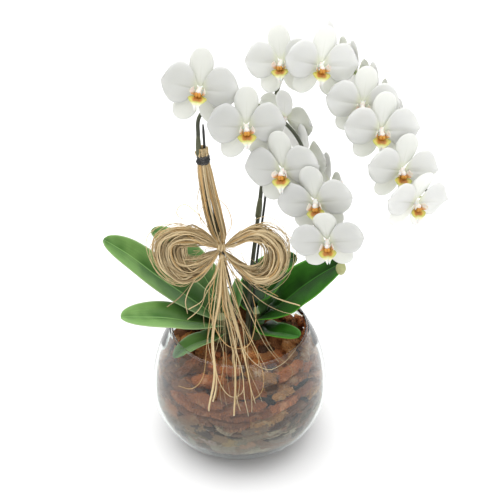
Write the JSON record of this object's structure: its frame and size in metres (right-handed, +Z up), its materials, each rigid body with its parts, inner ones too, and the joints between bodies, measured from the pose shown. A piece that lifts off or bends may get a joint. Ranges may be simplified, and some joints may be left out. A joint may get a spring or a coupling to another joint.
{
  "type": "potted moth orchid",
  "caption": "White moth orchid with two arching flower spikes, strap leaves and a raffia bow, standing in bark chips in a round clear glass bowl.",
  "frame": {"origin": "middle of the bowl's flat base, on the surface that it stands on", "axes": "+Z up; -Y towards the viewer whom the blooms face; +X to that viewer's right, where the spikes arch"},
  "size_m": [0.3929, 0.2615, 0.5231],
  "materials": {
    "glass": "polished",
    "bark": "matte",
    "crown": "satin",
    "leaf_left": "satin",
    "leaf_right": "satin",
    "stem": "satin",
    "stake": "matte",
    "bud": "satin",
    "tepals": "satin",
    "lip": "satin",
    "raffia": "matte",
    "tie": "matte"
  },
  "bodies": {
    "root": {"glass_bowl": "glass", "bark_bed": "bark", "crown_left": "crown", "crown_right": "crown", "leaf_left_long": "leaf_left", "leaf_left_low": "leaf_left", "leaf_left_rear": "leaf_left", "leaf_left_front": "leaf_left", "leaf_left_young": "leaf_left", "leaf_right_long": "leaf_right", "leaf_right_rear": "leaf_right", "leaf_right_low": "leaf_right", "leaf_right_young": "leaf_right", "spike_left": "stem", "spike_right": "stem", "stake_left": "stake", "stake_right": "stake", "bloom_left_1_tepals": "tepals", "bloom_left_1_lip": "lip", "bloom_left_2_tepals": "tepals", "bloom_left_2_lip": "lip", "bloom_left_3_tepals": "tepals", "bloom_left_3_lip": "lip", "bloom_left_4_tepals": "tepals", "bloom_left_4_lip": "lip", "bloom_left_5_tepals": "tepals", "bloom_left_5_lip": "lip", "bloom_left_back_1_tepals": "tepals", "bloom_left_back_1_lip": "lip", "bloom_left_back_2_tepals": "tepals", "bloom_left_back_2_lip": "lip", "bloom_left_back_3_tepals": "tepals", "bloom_left_back_3_lip": "lip", "bloom_right_1_tepals": "tepals", "bloom_right_1_lip": "lip", "bloom_right_2_tepals": "tepals", "bloom_right_2_lip": "lip", "bloom_right_3_tepals": "tepals", "bloom_right_3_lip": "lip", "bloom_right_4_tepals": "tepals", "bloom_right_4_lip": "lip", "bloom_right_5_tepals": "tepals", "bloom_right_5_lip": "lip", "bloom_right_6_tepals": "tepals", "bloom_right_6_lip": "lip", "bloom_right_back_1_tepals": "tepals", "bloom_right_back_1_lip": "lip", "bloom_right_back_2_tepals": "tepals", "bloom_right_back_2_lip": "lip", "bloom_right_back_3_tepals": "tepals", "bloom_right_back_3_lip": "lip", "bloom_right_back_4_tepals": "tepals", "bloom_right_back_4_lip": "lip", "bud_left": "bud", "raffia_sleeve": "raffia", "raffia_tie": "tie", "raffia_bow": "raffia", "raffia_tails": "raffia"}
  },
  "joints": []
}
